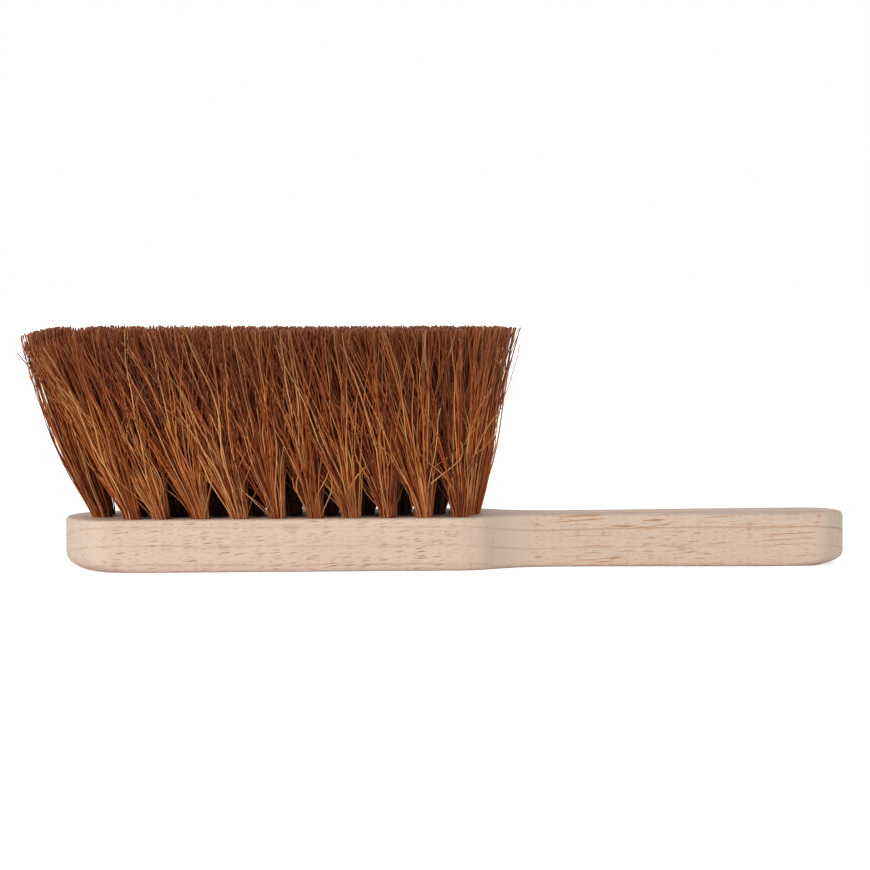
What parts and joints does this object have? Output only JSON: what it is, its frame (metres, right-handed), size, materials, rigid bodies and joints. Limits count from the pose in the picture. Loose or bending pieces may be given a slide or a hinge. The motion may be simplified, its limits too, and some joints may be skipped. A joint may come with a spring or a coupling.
{
  "type": "hand brush",
  "caption": "Wooden hand brush: a flat one-piece head and waisted handle, with tall splayed coir tufts anchored in blind holes, for sweeping up dry dirt.",
  "frame": {"origin": "on the flat back of the block, under the middle of the bristled head", "axes": "+X along the brush towards the end of the handle, +Y across it, +Z from the flat back to the bristle tips"},
  "size_m": [0.3006, 0.0711, 0.0888],
  "materials": {
    "bare_wood": "bare, finely sanded pale hardwood",
    "coir": "coarse brown coconut fibre, matt to satin"
  },
  "bodies": {
    "root": {"wooden_block": "bare_wood", "front_row_tuft_01": "coir", "front_row_tuft_02": "coir", "front_row_tuft_03": "coir", "front_row_tuft_04": "coir", "front_row_tuft_05": "coir", "front_row_tuft_06": "coir", "front_row_tuft_07": "coir", "front_row_tuft_08": "coir", "front_row_tuft_09": "coir", "front_row_tuft_10": "coir", "inner_front_row_tuft_01": "coir", "inner_front_row_tuft_02": "coir", "inner_front_row_tuft_03": "coir", "inner_front_row_tuft_04": "coir", "inner_front_row_tuft_05": "coir", "inner_front_row_tuft_06": "coir", "inner_front_row_tuft_07": "coir", "inner_front_row_tuft_08": "coir", "inner_front_row_tuft_09": "coir", "inner_front_row_tuft_10": "coir", "inner_front_row_tuft_11": "coir", "inner_back_row_tuft_01": "coir", "inner_back_row_tuft_02": "coir", "inner_back_row_tuft_03": "coir", "inner_back_row_tuft_04": "coir", "inner_back_row_tuft_05": "coir", "inner_back_row_tuft_06": "coir", "inner_back_row_tuft_07": "coir", "inner_back_row_tuft_08": "coir", "inner_back_row_tuft_09": "coir", "inner_back_row_tuft_10": "coir", "inner_back_row_tuft_11": "coir", "back_row_tuft_01": "coir", "back_row_tuft_02": "coir", "back_row_tuft_03": "coir", "back_row_tuft_04": "coir", "back_row_tuft_05": "coir", "back_row_tuft_06": "coir", "back_row_tuft_07": "coir", "back_row_tuft_08": "coir", "back_row_tuft_09": "coir", "back_row_tuft_10": "coir"}
  },
  "joints": []
}
